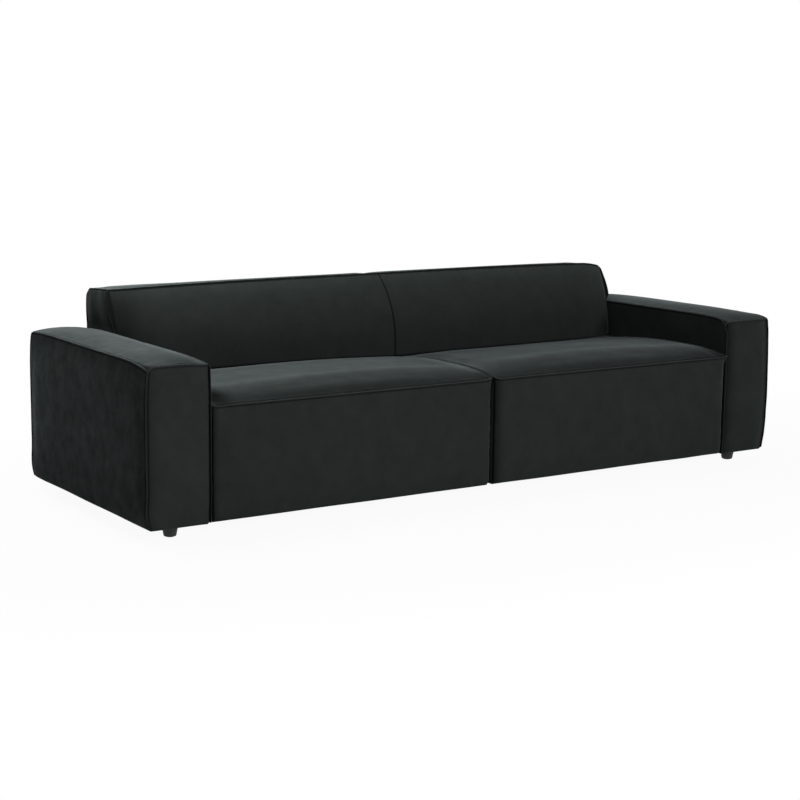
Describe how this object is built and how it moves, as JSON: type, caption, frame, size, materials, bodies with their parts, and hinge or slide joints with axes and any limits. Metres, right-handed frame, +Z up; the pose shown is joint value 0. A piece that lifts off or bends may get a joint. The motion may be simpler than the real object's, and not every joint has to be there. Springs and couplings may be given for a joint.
{
  "type": "sofa",
  "caption": "Long low velvet sofa: box seats with crowned tops between block arms, a fixed padded back and short tapered feet, for sitting.",
  "frame": {"origin": "on the floor, under the middle of the sofa's bounding box", "axes": "+X to the right of someone facing the sofa's front, -Y out of the front, +Z up"},
  "size_m": [2.628, 0.956, 0.7136],
  "materials": {
    "velvet": "matte",
    "foam": "matte",
    "frame_wood": "matte",
    "steel": "satin",
    "webbing": "matte",
    "black_plastic": "satin"
  },
  "bodies": {
    "root": {"arm_left_cover": "velvet", "arm_left_top_foam": "foam", "arm_left_top_board": "frame_wood", "arm_left_front_board": "frame_wood", "arm_left_rear_board": "frame_wood", "arm_left_outer_panel": "frame_wood", "arm_left_inner_panel": "frame_wood", "arm_left_bottom_board": "frame_wood", "arm_right_cover": "velvet", "arm_right_top_foam": "foam", "arm_right_top_board": "frame_wood", "arm_right_front_board": "frame_wood", "arm_right_rear_board": "frame_wood", "arm_right_outer_panel": "frame_wood", "arm_right_inner_panel": "frame_wood", "arm_right_bottom_board": "frame_wood", "seat_left_cover": "velvet", "seat_left_foam": "foam", "seat_left_springs": "steel", "seat_left_front_board": "frame_wood", "seat_left_rear_board": "frame_wood", "seat_left_outer_rail": "frame_wood", "seat_left_inner_rail": "frame_wood", "seat_left_centre_rail": "frame_wood", "seat_left_dust_cover": "webbing", "seat_right_cover": "velvet", "seat_right_foam": "foam", "seat_right_springs": "steel", "seat_right_front_board": "frame_wood", "seat_right_rear_board": "frame_wood", "seat_right_outer_rail": "frame_wood", "seat_right_inner_rail": "frame_wood", "seat_right_centre_rail": "frame_wood", "seat_right_dust_cover": "webbing", "back_cover": "velvet", "back_top_rail": "frame_wood", "back_middle_rail": "frame_wood", "back_bottom_rail": "frame_wood", "back_rear_panel": "frame_wood", "back_centre_rib": "frame_wood", "back_left_rib": "frame_wood", "back_left_webbing": "webbing", "back_left_foam": "foam", "back_right_rib": "frame_wood", "back_right_webbing": "webbing", "back_right_foam": "foam", "foot_front_left": "black_plastic", "foot_rear_left": "black_plastic", "foot_centre_left": "black_plastic", "foot_front_right": "black_plastic", "foot_rear_right": "black_plastic", "foot_centre_right": "black_plastic", "seat_bolt_front": "steel", "seat_bolt_rear": "steel", "arm_bolt_front_left": "steel", "arm_bolt_rear_left": "steel", "back_bolt_left": "steel", "arm_bolt_front_right": "steel", "arm_bolt_rear_right": "steel", "back_bolt_right": "steel"}
  },
  "joints": []
}
